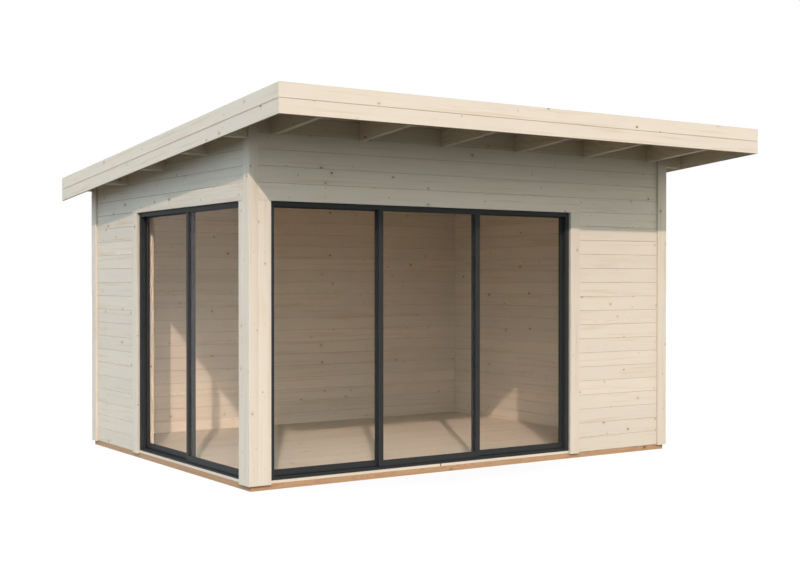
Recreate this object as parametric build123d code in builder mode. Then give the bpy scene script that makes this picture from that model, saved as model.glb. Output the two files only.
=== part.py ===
from build123d import *
import os
from math import radians, tan

os.makedirs("parts", exist_ok=True)

# Pent-roof garden cabin of spruce boards with sliding glazed units on its front and left sides.
# X runs along the front to the right, Y to the back and Z up, in millimetres.
# The origin is on the ground, under the middle of the base.

# Overall sizes, over the outer trims, and the roof
building_width = 4180.0
building_depth = 3180.0
roof_front_height = 2800.0
roof_pitch = 4.64
front_overhang = 850.0
side_overhang = 215.0
back_overhang = 184.0

# Base and floor
base_height = 45.0
base_beam_width = 70.0
base_inset = 22.0
joist_width = 45.0
joist_count = 7
floor_thickness = 19.0

# Walls and trims
wall_thickness = 44.0
trim_thickness = 18.0
trim_drop = 6.0
corner_trim_width = 104.0
glazed_corner_trim_width = 75.0
door_trim_width = 100.0
lining_thickness = 45.0
lining_depth = 95.0
end_lining_depth = 137.0

# Roof timbers
covering_thickness = 3.0
deck_thickness = 18.0
rafter_width = 45.0
rafter_height = 145.0
rafter_inset = 210.0
rafter_count = 6
lookout_width = 45.0
lookout_height = 174.0
lookout_spacing = 789.0
inner_lookout_count = 3
fascia_thickness = 18.0
fascia_board_height = 103.0
fascia_groove_width = 5.0
fascia_groove_depth = 4.0

# Glazed units: the timber corner between them, the walls past their far ends,
# how far their tops are below the roof's front edge, and their frames
front_corner_width = 180.0
left_corner_width = 164.0
front_right_width = 1139.0
left_rear_width = 1092.0
lintel_drop = 711.0
unit_recess = 24.0
threshold_height = 20.0
frame_face = 36.0
frame_web = 8.0
frame_flange = 2.5
sill_plate_height = 12.0
rail_height = 10.0
rail_width = 8.0

# Glazed panels, which run or stand on the sill's rails
panel_thickness = 26.0
running_clearance = 5.0
seat_clearance = 0.3
stile_width = 40.0
top_rail_height = 28.0
bottom_rail_height = 38.0
glass_thickness = 6.0
glazing_depth = 12.0
runner_width = 20.0
runner_inset = 8.0

# Outer faces of the trims, the wall boards and the base
left = -building_width / 2
right = building_width / 2
front = -building_depth / 2
back = building_depth / 2
wall_left = left + trim_thickness
wall_right = right - trim_thickness
wall_front = front + trim_thickness
wall_back = back - trim_thickness
room_left = wall_left + wall_thickness
room_right = wall_right - wall_thickness
room_front = wall_front + wall_thickness
room_back = wall_back - wall_thickness
base_left = left + base_inset
base_right = right - base_inset
base_front = front + base_inset
base_back = back - base_inset

# Edges of the roof, over its fascias and inside them
roof_left = left - side_overhang
roof_right = right + side_overhang
roof_front = front - front_overhang
roof_back = back + back_overhang
deck_left = roof_left + fascia_thickness
deck_right = roof_right - fascia_thickness
deck_front = roof_front + fascia_thickness
deck_back = roof_back - fascia_thickness
deck_width = deck_right - deck_left

# Depths of the roof's layers below its top, measured straight down
deck_drop = covering_thickness
rafter_drop = deck_drop + deck_thickness
rafter_bottom_drop = rafter_drop + rafter_height
lookout_bottom_drop = rafter_drop + lookout_height
fascia_drop = 2 * fascia_board_height
groove_top_drop = fascia_board_height - fascia_groove_width / 2
groove_bottom_drop = fascia_board_height + fascia_groove_width / 2

# Levels and places of the glazed units
floor_top = base_height + floor_thickness
unit_bottom = base_height + threshold_height
unit_top = roof_front_height - lintel_drop
trim_bottom = base_height - trim_drop
front_unit_left = left + front_corner_width
front_unit_right = right - front_right_width
front_unit_width = front_unit_right - front_unit_left
left_unit_front = front + left_corner_width
left_unit_back = back - left_rear_width
left_unit_width = left_unit_back - left_unit_front
post_right = front_unit_left - lining_thickness
post_back = left_unit_front - lining_thickness
front_lining_back = wall_front + lining_depth
left_lining_right = wall_left + lining_depth
front_end_lining_back = wall_front + end_lining_depth
left_end_lining_right = wall_left + end_lining_depth
front_right_wall_left = front_unit_right + lining_thickness
left_rear_wall_front = left_unit_back + lining_thickness

# Tracks of the glazed units, as depths behind the trims' outer faces
channel_width = panel_thickness + 2 * running_clearance
track_pitch = channel_width + frame_flange
frame_depth = 2 * track_pitch + frame_flange
outer_track = unit_recess + frame_flange + running_clearance
inner_track = outer_track + track_pitch
sill_top = unit_bottom + sill_plate_height
rail_top = sill_top + rail_height
panel_bottom = rail_top + running_clearance
panel_edge_margin = frame_web + running_clearance
panel_top = unit_top - panel_edge_margin
panel_height = panel_top - panel_bottom
jamb_top = unit_top - frame_face

corner = (Align.MIN, Align.MIN)


def roof_z(y, drop):
    """Height of a layer of the sloping roof at depth y, drop below the roof's top."""
    return roof_front_height - drop - tan(radians(roof_pitch)) * (y - roof_front)


def sloping_strip(y_start, y_end, top_drop, bottom_drop):
    """Corners, in the YZ plane, of a strip with plumb ends between two layers of the roof."""
    return [
        (y_start, roof_z(y_start, bottom_drop)),
        (y_end, roof_z(y_end, bottom_drop)),
        (y_end, roof_z(y_end, top_drop)),
        (y_start, roof_z(y_start, top_drop)),
    ]


def wall_profile(y_start, y_end, bottom):
    """Corners, in the YZ plane, of a wall that stands from a level up to the underside of the deck."""
    return [
        (y_start, bottom),
        (y_end, bottom),
        (y_end, roof_z(y_end, rafter_drop)),
        (y_start, roof_z(y_start, rafter_drop)),
    ]


def save(builder, name):
    """Labels a finished piece and writes it to its own file."""
    builder.part.label = name
    export_step(builder.part, f"parts/{name}.step")


def add_rectangles(spans):
    """Adds rectangles, given by their x and y limits, to the sketch that is open."""
    for x_start, x_end, y_start, y_end in spans:
        with Locations((x_start, y_start)):
            Rectangle(x_end - x_start, y_end - y_start, align=corner)


def slabs(name, spans, bottom, top):
    """Saves upright or lying slabs, given by their x and y limits, between two levels."""
    with BuildPart() as piece:
        with BuildSketch(Plane.XY.offset(bottom)):
            add_rectangles(spans)
        extrude(amount=top - bottom)
    save(piece, name)


# Base beams on the ground, joists between them and the floor on top
beam_inner_front = base_front + base_beam_width
beam_inner_back = base_back - base_beam_width
slabs("base_front_beam", [(base_left, base_right, base_front, beam_inner_front)], 0, base_height)
slabs("base_back_beam", [(base_left, base_right, beam_inner_back, base_back)], 0, base_height)
side_beam_spans = [
    (base_left, base_left + base_beam_width, beam_inner_front, beam_inner_back),
    (base_right - base_beam_width, base_right, beam_inner_front, beam_inner_back),
]
slabs("base_side_beams", side_beam_spans, 0, base_height)

joist_spacing = (base_right - base_left - base_beam_width) / (joist_count + 1)
with BuildPart() as floor_joists:
    with BuildSketch():
        with GridLocations(joist_spacing, 0, joist_count, 1):
            Rectangle(joist_width, beam_inner_back - beam_inner_front)
    extrude(amount=base_height)
save(floor_joists, "floor_joists")

with BuildPart() as floor_boards:
    with BuildSketch(Plane.XY.offset(base_height)):
        Polygon(
            (post_right, front_lining_back),
            (front_right_wall_left, front_lining_back),
            (front_right_wall_left, room_front),
            (room_right, room_front),
            (room_right, room_back),
            (room_left, room_back),
            (room_left, left_rear_wall_front),
            (left_lining_right, left_rear_wall_front),
            (left_lining_right, post_back),
            (post_right, post_back),
            align=None,
        )
    extrude(amount=floor_thickness)
save(floor_boards, "floor_boards")

# Thresholds under the glazed units, the timber linings at their ends and the corner post between them.
# The linings at the far ends reach further into the room, over the floor.
threshold_front_span = (front_unit_left, front_unit_right, front + unit_recess, front_lining_back)
threshold_left_span = (left + unit_recess, left_lining_right, left_unit_front, left_unit_back)
slabs("front_threshold", [threshold_front_span], base_height, unit_bottom)
slabs("left_threshold", [threshold_left_span], base_height, unit_bottom)
slabs("corner_post", [(wall_left, post_right, wall_front, post_back)], base_height, unit_top)
lining_spans = [
    (post_right, front_unit_left, wall_front, front_lining_back),
    (front_unit_right, front_right_wall_left, wall_front, front_lining_back),
    (wall_left, left_lining_right, post_back, left_unit_front),
    (wall_left, left_lining_right, left_unit_back, left_rear_wall_front),
]
deep_lining_spans = [
    (front_unit_right, front_right_wall_left, front_lining_back, front_end_lining_back),
    (left_lining_right, left_end_lining_right, left_unit_back, left_rear_wall_front),
]
with BuildPart() as door_linings:
    with BuildSketch(Plane.XY.offset(base_height)):
        add_rectangles(lining_spans)
    extrude(amount=unit_top - base_height)
    with BuildSketch(Plane.XY.offset(floor_top)):
        add_rectangles(deep_lining_spans)
    extrude(amount=unit_top - floor_top)
save(door_linings, "door_linings")

# Walls beside the glazed units
front_right_wall_span = (front_right_wall_left, wall_right, wall_front, room_front)
left_rear_wall_span = (wall_left, room_left, left_rear_wall_front, room_back)
slabs("front_right_wall", [front_right_wall_span], base_height, unit_top)
slabs("left_rear_wall", [left_rear_wall_span], base_height, unit_top)

# Walls that reach the roof, notched where a rafter or a lookout passes over them
rafter_profile = sloping_strip(deck_front, deck_back, rafter_drop, rafter_bottom_drop)
rafter_spacing = (building_width - 2 * rafter_inset) / (rafter_count - 1)
first_rafter_left = left + rafter_inset - rafter_width / 2
rafter_lefts = [first_rafter_left + n * rafter_spacing for n in range(rafter_count)]
rafter_planes = [Plane.YZ.offset(x) for x in rafter_lefts]
back_lookout_front = wall_back - lookout_width
inner_lookout_fronts = [back_lookout_front - (n + 1) * lookout_spacing for n in range(inner_lookout_count)]


def lookout_profile(y_start):
    """Corners, in the YZ plane, of a lookout whose front face is at depth y_start."""
    return sloping_strip(y_start, y_start + lookout_width, rafter_drop, lookout_bottom_drop)


cross_walls = {
    "front_lintel_wall": (wall_front, room_front, unit_top),
    "back_wall": (room_back, wall_back, base_height),
}
for wall_name, (wall_start, wall_end, wall_bottom) in cross_walls.items():
    with BuildPart() as cross_wall:
        with BuildSketch(Plane.YZ.offset(wall_left)):
            Polygon(*wall_profile(wall_start, wall_end, wall_bottom), align=None)
        extrude(amount=wall_right - wall_left)
        with BuildSketch(*rafter_planes):
            Polygon(*rafter_profile, align=None)
        extrude(amount=rafter_width, mode=Mode.SUBTRACT)
    save(cross_wall, wall_name)

side_walls = {
    "left_lintel_wall": (wall_left, unit_top),
    "right_wall": (room_right, base_height),
}
for wall_name, (wall_start, wall_bottom) in side_walls.items():
    with BuildPart() as side_wall:
        with BuildSketch(Plane.YZ.offset(wall_start)):
            Polygon(*wall_profile(room_front, room_back, wall_bottom), align=None)
            for lookout_front in inner_lookout_fronts:
                Polygon(*lookout_profile(lookout_front), align=None, mode=Mode.SUBTRACT)
        extrude(amount=wall_thickness)
    save(side_wall, wall_name)

# Corner trims, each an angle of two boards cut off along the underside of the deck
side_leg = glazed_corner_trim_width + trim_thickness
corner_trims = {
    "front_left_corner_trim": (left, front, 1, 1, glazed_corner_trim_width, side_leg),
    "front_right_corner_trim": (right, front, -1, 1, corner_trim_width, corner_trim_width),
    "back_left_corner_trim": (left, back, 1, -1, corner_trim_width, corner_trim_width),
    "back_right_corner_trim": (right, back, -1, -1, corner_trim_width, corner_trim_width),
}
for trim_name, (edge_x, edge_y, x_way, y_way, x_leg, y_leg) in corner_trims.items():
    with BuildPart() as corner_trim:
        with BuildSketch(Plane.XY.offset(trim_bottom)):
            Polygon(
                (edge_x, edge_y),
                (edge_x + x_way * x_leg, edge_y),
                (edge_x + x_way * x_leg, edge_y + y_way * trim_thickness),
                (edge_x + x_way * trim_thickness, edge_y + y_way * trim_thickness),
                (edge_x + x_way * trim_thickness, edge_y + y_way * y_leg),
                (edge_x, edge_y + y_way * y_leg),
                align=None,
            )
        extrude(amount=roof_front_height - trim_bottom)
        with BuildSketch(Plane.YZ.offset(deck_left)):
            Polygon(*sloping_strip(roof_front, roof_back, -roof_front_height, rafter_drop), align=None)
        extrude(amount=deck_width, mode=Mode.SUBTRACT)
    save(corner_trim, trim_name)

# Upright trims at both ends of the two glazed units
door_trim_spans = [
    (left + glazed_corner_trim_width, front_unit_left, front, wall_front),
    (front_unit_right, front_unit_right + door_trim_width, front, wall_front),
    (left, wall_left, front + side_leg, left_unit_front),
    (left, wall_left, left_unit_back, left_unit_back + door_trim_width),
]
slabs("door_trims", door_trim_spans, trim_bottom, unit_top)

# Rafters from the front fascia to the back one
with BuildPart() as rafters:
    with BuildSketch(*rafter_planes):
        Polygon(*rafter_profile, align=None)
    extrude(amount=rafter_width)
save(rafters, "rafters")

# Lookouts carry the side fascias: the inner ones reach in to the outermost rafters,
# and the ones in line with the front and back walls end at the corner trims
outer_lookout_fronts = [wall_front, back_lookout_front]
lookout_sides = {
    "left_lookouts": (deck_left, rafter_lefts[0], left),
    "right_lookouts": (deck_right, rafter_lefts[-1] + rafter_width, right),
}
for side_name, (outer_end, rafter_face, trim_face) in lookout_sides.items():
    with BuildPart() as lookouts:
        with BuildSketch(Plane.YZ.offset(outer_end)):
            for lookout_front in inner_lookout_fronts:
                Polygon(*lookout_profile(lookout_front), align=None)
        extrude(amount=rafter_face - outer_end)
        with BuildSketch(Plane.YZ.offset(outer_end)):
            for lookout_front in outer_lookout_fronts:
                Polygon(*lookout_profile(lookout_front), align=None)
        extrude(amount=trim_face - outer_end)
    save(lookouts, side_name)

# Roof deck and its covering, between the fascias
roof_layers = {
    "roof_deck": (deck_drop, rafter_drop),
    "roof_covering": (0, deck_drop),
}
for layer_name, (top_drop, bottom_drop) in roof_layers.items():
    with BuildPart() as roof_layer:
        with BuildSketch(Plane.YZ.offset(deck_left)):
            Polygon(*sloping_strip(deck_front, deck_back, top_drop, bottom_drop), align=None)
        extrude(amount=deck_width)
    save(roof_layer, layer_name)

# Front and back fascias over the full width, with a groove between their two boards
cross_fascias = {
    "front_fascia": (roof_front, deck_front, roof_front, 1),
    "back_fascia": (deck_back, roof_back, roof_back, -1),
}
for fascia_name, (fascia_start, fascia_end, face_y, inward) in cross_fascias.items():
    groove_span = sorted([face_y, face_y + inward * fascia_groove_depth])
    groove_strip = sloping_strip(*groove_span, groove_top_drop, groove_bottom_drop)
    with BuildPart() as cross_fascia:
        with BuildSketch(Plane.YZ.offset(roof_left)):
            Polygon(*sloping_strip(fascia_start, fascia_end, 0, fascia_drop), align=None)
            Polygon(*groove_strip, align=None, mode=Mode.SUBTRACT)
        extrude(amount=roof_right - roof_left)
    save(cross_fascia, fascia_name)

# Side fascias along the slope, between the front and back ones
side_fascias = {
    "left_fascia": (roof_left, 1),
    "right_fascia": (roof_right, -1),
}
for fascia_name, (face_x, inward) in side_fascias.items():
    with BuildPart() as side_fascia:
        with BuildSketch(Plane.YZ.offset(face_x)):
            Polygon(*sloping_strip(deck_front, deck_back, 0, fascia_drop), align=None)
        extrude(amount=inward * fascia_thickness)
        with BuildSketch(Plane.YZ.offset(face_x)):
            groove_strip = sloping_strip(deck_front, deck_back, groove_top_drop, groove_bottom_drop)
            Polygon(*groove_strip, align=None)
        extrude(amount=inward * fascia_groove_depth, mode=Mode.SUBTRACT)
    save(side_fascia, fascia_name)


def save_unit_frame(name, unit, width, start_track, end_track):
    """Saves a glazed unit's head, sill and jambs: aluminium sections round two tracks.

    The unit's plane lies in the trims' outer faces, with x along the unit and y up. Each jamb
    has a channel for the one panel that stands in it.
    """
    section = Plane(origin=unit.origin, x_dir=-unit.z_dir, z_dir=unit.x_dir)
    channel_starts = [track - running_clearance for track in (outer_track, inner_track)]
    rail_starts = [track + (panel_thickness - rail_width) / 2 for track in (outer_track, inner_track)]

    with BuildPart() as head:
        with BuildSketch(section):
            with Locations((unit_recess, jamb_top)):
                Rectangle(frame_depth, frame_face, align=corner)
            with Locations(*[(start, jamb_top) for start in channel_starts]):
                Rectangle(channel_width, frame_face - frame_web, align=corner, mode=Mode.SUBTRACT)
        extrude(amount=width)
    save(head, f"{name}_head")

    with BuildPart() as sill:
        with BuildSketch(section):
            with Locations((unit_recess, unit_bottom)):
                Rectangle(frame_depth, sill_plate_height, align=corner)
        extrude(amount=width)
        with BuildSketch(section.offset(frame_face)):
            with Locations(*[(start, sill_top) for start in rail_starts]):
                Rectangle(rail_width, rail_height, align=corner)
        extrude(amount=width - 2 * frame_face)
    save(sill, f"{name}_sill")

    plan_origin = unit.origin + Vector(0, 0, sill_top)
    plan = Plane(origin=plan_origin, x_dir=unit.x_dir, z_dir=(0, 0, 1))
    with BuildPart() as jambs:
        with BuildSketch(plan):
            with Locations((0, unit_recess), (width - frame_face, unit_recess)):
                Rectangle(frame_face, frame_depth, align=corner)
            start_channel = (frame_web, start_track - running_clearance)
            end_channel = (width - frame_face, end_track - running_clearance)
            with Locations(start_channel, end_channel):
                Rectangle(frame_face - frame_web, channel_width, align=corner, mode=Mode.SUBTRACT)
        extrude(amount=jamb_top - sill_top)
    save(jambs, f"{name}_jambs")


def save_panel(name, unit, start, width, track, seat):
    """Saves a glazed panel: a frame of stiles and rails on a runner, and the pane in its groove."""
    opening_width = width - 2 * stile_width
    opening_height = panel_height - top_rail_height - bottom_rail_height
    pane_width = opening_width + 2 * glazing_depth
    pane_height = opening_height + 2 * glazing_depth
    opening_corner = (start + stile_width, panel_bottom + bottom_rail_height)
    pane_corner = (opening_corner[0] - glazing_depth, opening_corner[1] - glazing_depth)
    pane_plane = unit.offset(-track - (panel_thickness - glass_thickness) / 2)
    runner_plane = unit.offset(-track - (panel_thickness - runner_width) / 2)
    runner_bottom = rail_top + seat

    with BuildPart() as panel:
        with BuildSketch(unit.offset(-track)):
            with Locations((start, panel_bottom)):
                Rectangle(width, panel_height, align=corner)
            with Locations(opening_corner):
                Rectangle(opening_width, opening_height, align=corner, mode=Mode.SUBTRACT)
        extrude(amount=-panel_thickness)
        with BuildSketch(runner_plane):
            with Locations((start + runner_inset, runner_bottom)):
                Rectangle(width - 2 * runner_inset, panel_bottom - runner_bottom, align=corner)
        extrude(amount=-runner_width)
        with BuildSketch(pane_plane):
            with Locations(pane_corner):
                Rectangle(pane_width, pane_height, align=corner)
        extrude(amount=-glass_thickness, mode=Mode.SUBTRACT)
    save(panel, f"{name}_panel")

    with BuildPart() as pane:
        with BuildSketch(pane_plane):
            with Locations(pane_corner):
                Rectangle(pane_width, pane_height, align=corner)
        extrude(amount=-glass_thickness)
    save(pane, f"{name}_glass")


# Front unit: the middle panel runs in the outer track, past the standing panels in the inner track
front_unit = Plane(origin=(front_unit_left, front, 0), x_dir=(1, 0, 0), z_dir=(0, -1, 0))
front_panels = {
    "front_left": (inner_track, 0),
    "front_middle": (outer_track, seat_clearance),
    "front_right": (inner_track, 0),
}

# Left unit, from the back to the front: the panel by the corner runs in the outer track
left_unit = Plane(origin=(left, left_unit_back, 0), x_dir=(0, -1, 0), z_dir=(-1, 0, 0))
left_panels = {
    "left_rear": (inner_track, 0),
    "left_front": (outer_track, seat_clearance),
}

glazed_units = {
    "front_unit": (front_unit, front_unit_width, front_panels),
    "left_unit": (left_unit, left_unit_width, left_panels),
}
for unit_name, (unit_plane, unit_width, panels) in glazed_units.items():
    tracks = [track_depth for track_depth, _ in panels.values()]
    save_unit_frame(unit_name, unit_plane, unit_width, tracks[0], tracks[-1])
    overlap_total = (len(panels) - 1) * stile_width
    panel_width = (unit_width - 2 * panel_edge_margin + overlap_total) / len(panels)
    for place, (panel_name, (track_depth, seat_gap)) in enumerate(panels.items()):
        panel_start = panel_edge_margin + place * (panel_width - stile_width)
        save_panel(panel_name, unit_plane, panel_start, panel_width, track_depth, seat_gap)
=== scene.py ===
"""Finish of a pent-roof garden cabin: its boards, trims, roofing, seals, fixings, materials and stage."""

from math import cos, radians, tan

import bpy
import numpy as np
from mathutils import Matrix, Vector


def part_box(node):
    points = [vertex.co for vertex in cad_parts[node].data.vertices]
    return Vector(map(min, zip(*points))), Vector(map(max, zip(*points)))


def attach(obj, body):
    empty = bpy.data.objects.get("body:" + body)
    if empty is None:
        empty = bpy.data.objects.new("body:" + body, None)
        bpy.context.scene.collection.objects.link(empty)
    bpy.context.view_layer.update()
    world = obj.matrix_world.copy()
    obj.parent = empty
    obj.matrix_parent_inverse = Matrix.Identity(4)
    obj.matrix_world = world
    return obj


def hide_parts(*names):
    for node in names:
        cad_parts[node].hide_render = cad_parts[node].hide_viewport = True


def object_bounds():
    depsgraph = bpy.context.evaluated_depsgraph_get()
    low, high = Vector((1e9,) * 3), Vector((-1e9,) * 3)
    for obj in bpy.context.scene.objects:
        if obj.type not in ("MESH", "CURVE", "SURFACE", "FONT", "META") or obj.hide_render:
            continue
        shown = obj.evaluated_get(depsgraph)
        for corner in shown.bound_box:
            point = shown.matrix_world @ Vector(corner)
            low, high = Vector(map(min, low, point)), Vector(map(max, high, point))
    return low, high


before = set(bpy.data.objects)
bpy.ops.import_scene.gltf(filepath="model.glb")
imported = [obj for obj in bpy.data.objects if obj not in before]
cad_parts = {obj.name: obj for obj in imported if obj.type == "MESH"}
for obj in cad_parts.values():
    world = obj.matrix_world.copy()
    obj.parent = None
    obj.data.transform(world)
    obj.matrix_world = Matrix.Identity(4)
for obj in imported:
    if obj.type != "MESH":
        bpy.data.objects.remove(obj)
cad_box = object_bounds()

bl_info = {
    "name": "Garden Cabin Finish",
    "version": (1, 0, 0),
    "blender": (4, 5, 0),
    "location": "3D View > Sidebar > Cabin",
    "description": "Boards, trims, roofing, seals, fixings, materials and stage of a pent-roof garden cabin",
    "category": "Object",
}

BODY = "cabin"
PANES = {
    "front_left": BODY,
    "front_middle": "front_sliding_panel",
    "front_right": BODY,
    "left_rear": BODY,
    "left_front": "left_sliding_panel",
}
X_AXIS = np.array([1.0, 0.0, 0.0])
Y_AXIS = np.array([0.0, 1.0, 0.0])
Z_AXIS = np.array([0.0, 0.0, 1.0])
RAFTERS = 6
SCREW_SIDES = 12
EASED = radians(40)  # Edges that turn by less than this are shaded as rounded


def low(node):
    """Lowest corner of a CAD node."""
    return np.array(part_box(node)[0])


def high(node):
    """Highest corner of a CAD node."""
    return np.array(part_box(node)[1])


def length(name, default, description):
    """A size in metres for the sidebar."""
    return bpy.props.FloatProperty(
        name=name, description=description, default=default, unit="LENGTH", precision=4, min=0.0
    )


def amount(name, default, description):
    """A plain number for the sidebar."""
    return bpy.props.FloatProperty(name=name, description=description, default=default, min=0.0)


def slant(name, degrees, description):
    """An angle for the sidebar."""
    return bpy.props.FloatProperty(
        name=name, description=description, default=radians(degrees), subtype="ANGLE"
    )


def tone(name, default, description):
    """A linear colour for the sidebar."""
    return bpy.props.FloatVectorProperty(
        name=name, description=description, default=default, subtype="COLOR", size=3, min=0.0, max=1.0
    )


class CabinSizes(bpy.types.PropertyGroup):
    """Sizes of the boards, trims, roofing, seals and fixings."""

    board_pitch: length("Board cover", 0.12075, "Height that each wall board covers")
    first_joint: length("First joint", 0.1676, "Height of the lowest joint between wall boards")
    groove_width: length("Groove width", 0.006, "Width of the V between two wall boards")
    groove_depth: length("Groove depth", 0.003, "Depth of the V between two wall boards")
    # Painted shade: the slot is a dark line painted at each joint, standing in for the shadow in the open gap
    # between two boards.
    gap_shade_width: length("Slot width", 0.0015, "Width of the dark slot at the bottom of a joint")
    floor_pitch: length("Floor board cover", 0.1135, "Width that each floor board covers")
    floor_groove: length("Floor groove", 0.002, "Width of the joint between two floor boards")
    deck_pitch: length("Roof board cover", 0.0955, "Width that each roof board covers")
    arris: length("Arris", 0.0015, "Radius of the trim boards' edges")
    header_height: length("Header height", 0.124, "Height of the board over each glazed unit")
    header_depth: length("Header depth", 0.020, "How far that board stands out from the wall")
    felt_pitch: length("Felt cover", 0.92, "Width that each strip of roofing felt covers")
    felt_lap: length("Felt lap", 0.0018, "Step down at the lap of two strips")
    seal_width: length("Seal width", 0.0035, "Width of the rubber seal round each pane")
    seal_height: length("Seal height", 0.006, "Height of the rubber seal over the glass")
    screw_radius: length("Screw radius", 0.0036, "Radius of the trims' screw heads")
    screw_spacing: length("Screw spacing", 0.52, "Distance between the screws of a trim")
    trim_thickness: length("Trim thickness", 0.018, "Thickness of the upright trim boards")
    door_trim: length("Door trim", 0.1, "Width of the trims at the far ends of the glazed units")
    pane_inset: length("Pane inset", 0.012, "How far each pane reaches into its frame")
    rafter_width: length("Rafter width", 0.045, "Width of a rafter or lookout, and of its notch")
    rafter_depth: length("Rafter depth", 0.145, "Depth of a rafter, and of its notch")
    lookout_depth: length("Lookout depth", 0.174, "Depth of a lookout, and of its notch")
    rear_lookout_depth: length("Rear lookout depth", 0.122, "Depth of the lookouts at the back wall")
    lookout_spacing: length("Lookout spacing", 0.789, "Distance between two lookouts")
    deck_thickness: length("Roof board thickness", 0.018, "Thickness of the roof boards")
    fascia_board: length("Fascia board", 0.103, "Height of each fascia board")
    fascia_gap: length("Fascia groove width", 0.005, "Width of the groove between two fascia boards")
    fascia_groove: length("Fascia groove depth", 0.004, "Depth of the groove between two fascia boards")
    roof_pitch: slant("Roof pitch", 4.64, "Slope of the roof")


class CabinColours(bpy.types.PropertyGroup):
    """Linear colours of the cabin's finishes."""

    spruce: tone("Spruce", (0.83, 0.735, 0.59), "Early wood of the pale boards")
    spruce_ring: tone("Spruce ring", (0.69, 0.545, 0.37), "Late wood of the pale boards")
    knot: tone("Knot", (0.13, 0.075, 0.038), "Knots of the boards")
    floor: tone("Floor", (0.71, 0.635, 0.505), "Early wood of the floor boards")
    floor_ring: tone("Floor ring", (0.56, 0.455, 0.32), "Late wood of the floor boards")
    impregnated: tone("Impregnated", (0.56, 0.335, 0.178), "Early wood of the base beams")
    impregnated_ring: tone("Impregnated ring", (0.39, 0.20, 0.09), "Late wood of the base beams")
    coat: tone("Powder coat", (0.0375, 0.039, 0.0378), "Anthracite powder coat of the glazed units")
    glass: tone("Glass", (0.925, 0.915, 0.895), "Tone of the glass")
    rubber: tone("Rubber", (0.012, 0.012, 0.013), "Seals of the panes")
    felt: tone("Felt", (0.055, 0.056, 0.060), "Mineral felt of the roof")
    steel: tone("Steel", (0.52, 0.50, 0.47), "Zinc-plated screw heads")


class CabinStage(bpy.types.PropertyGroup):
    """Camera, light and ground."""

    camera_place: bpy.props.FloatVectorProperty(
        name="Camera",
        description="Place of the camera",
        default=(-6.1426, -9.5598, 1.5147),
        subtype="TRANSLATION",
    )
    camera_turn: bpy.props.FloatVectorProperty(
        name="Camera turn",
        description="Turn of the camera",
        default=(radians(89.487), 0.0, radians(-33.87)),
        subtype="EULER",
    )
    lens: amount("Lens", 56.07, "Focal length in millimetres")
    to_sun: bpy.props.FloatVectorProperty(
        name="Towards the sun",
        description="Direction of the light",
        default=(-0.777, -1.333, 1.0),
        subtype="DIRECTION",
    )
    sun_power: amount("Sun", 1.85, "Strength of the sun")
    sun_spread: slant("Sun spread", 0.9, "Angle that the sun takes up")
    sun_tone: tone("Sun tone", (1.0, 0.84, 0.80), "Colour of the sun")
    sky_power: amount("Sky", 1.54, "Strength of the soft light")
    right_tone: tone("Right tone", (0.88, 0.86, 0.77), "Colour of the soft light from the right")
    left_tone: tone("Left tone", (0.56, 0.735, 0.905), "Colour of the soft light from the left")


def sizes():
    """The scene's sizes of the cabin."""
    return bpy.context.scene.cabin_sizes


def colours():
    """The scene's colours of the cabin."""
    return bpy.context.scene.cabin_colours


# Meshes


def roof_level(y, drop):
    """Height of a layer of the sloping roof at depth y: the top's height at the front edge, less the
    layer's drop and the fall over the distance from that edge."""
    return cad_box[1].z - drop - tan(sizes().roof_pitch) * (y - cad_box[0].y)


def deck_drop():
    """How far the underside of the roof boards lies straight below the roof's top."""
    return roof_level(low("roof_deck")[1], 0.0) - high("roof_deck")[2] + sizes().deck_thickness


def down_slope():
    """Direction down the roof, from the front to the back."""
    slope = sizes().roof_pitch
    return np.array([0.0, cos(slope), -np.sin(slope)])


def lookout_fronts():
    """Depths at which the lookouts begin: one at the front wall, three between, one at the back wall."""
    first, last = low("left_lookouts")[1], high("left_lookouts")[1] - sizes().rafter_width
    return np.array([first, *(last - sizes().lookout_spacing * np.array([3.0, 2.0, 1.0])), last])


def grid_faces(rows, columns, close_rows=False, close_columns=False):
    """Quads of a grid numbered row by row, closed on itself in either direction where asked."""
    row = np.arange(rows if close_rows else rows - 1)[:, None]
    column = np.arange(columns if close_columns else columns - 1)[None, :]
    next_row, next_column = (row + 1) % rows, (column + 1) % columns
    corners = [
        row * columns + column,
        row * columns + next_column,
        next_row * columns + next_column,
        next_row * columns + column,
    ]
    return np.stack([c.ravel() for c in corners], -1)


def signed_volume(points, faces):
    """Sum of the tetrahedra from the origin to each fan triangle of the faces, which is below nil where
    they face inwards."""
    first, second, third = points[faces[:, :1]], points[faces[:, 1:-1]], points[faces[:, 2:]]
    return (first * np.cross(second, third)).sum() / 6


def add_piece(
    name, points, face_sets, materials, body=BODY, replaced=(), slot=None, shares=None, board=None, smooth=0.0
):
    """Puts a closed shape into a mesh with its faces outwards and lets it ride on its body.

    face_sets holds arrays of faces, each of one number of corners. shares gives a material's number for each
    face of each set, board the number of the timber that each point belongs to.
    """
    if sum(signed_volume(points, faces) for faces in face_sets) < 0:
        face_sets = [faces[:, ::-1] for faces in face_sets]
    mesh = bpy.data.meshes.new(name)
    mesh.from_pydata(points.tolist(), [], [face for faces in face_sets for face in faces.tolist()])
    for material in materials:
        mesh.materials.append(material)
    if shares is not None:
        mesh.polygons.foreach_set("material_index", np.concatenate(shares).astype(np.int32))
    if board is not None:
        mesh.attributes.new("board", "FLOAT", "POINT").data.foreach_set("value", board.astype(np.float32))
    if smooth:
        mesh.shade_smooth()
        mesh.set_sharp_from_angle(angle=smooth)
    mesh.validate()
    piece = bpy.data.objects.new(name, mesh)
    bpy.context.scene.collection.objects.link(piece)
    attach(piece, body)
    if replaced:
        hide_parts(*replaced)
    return piece


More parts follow.
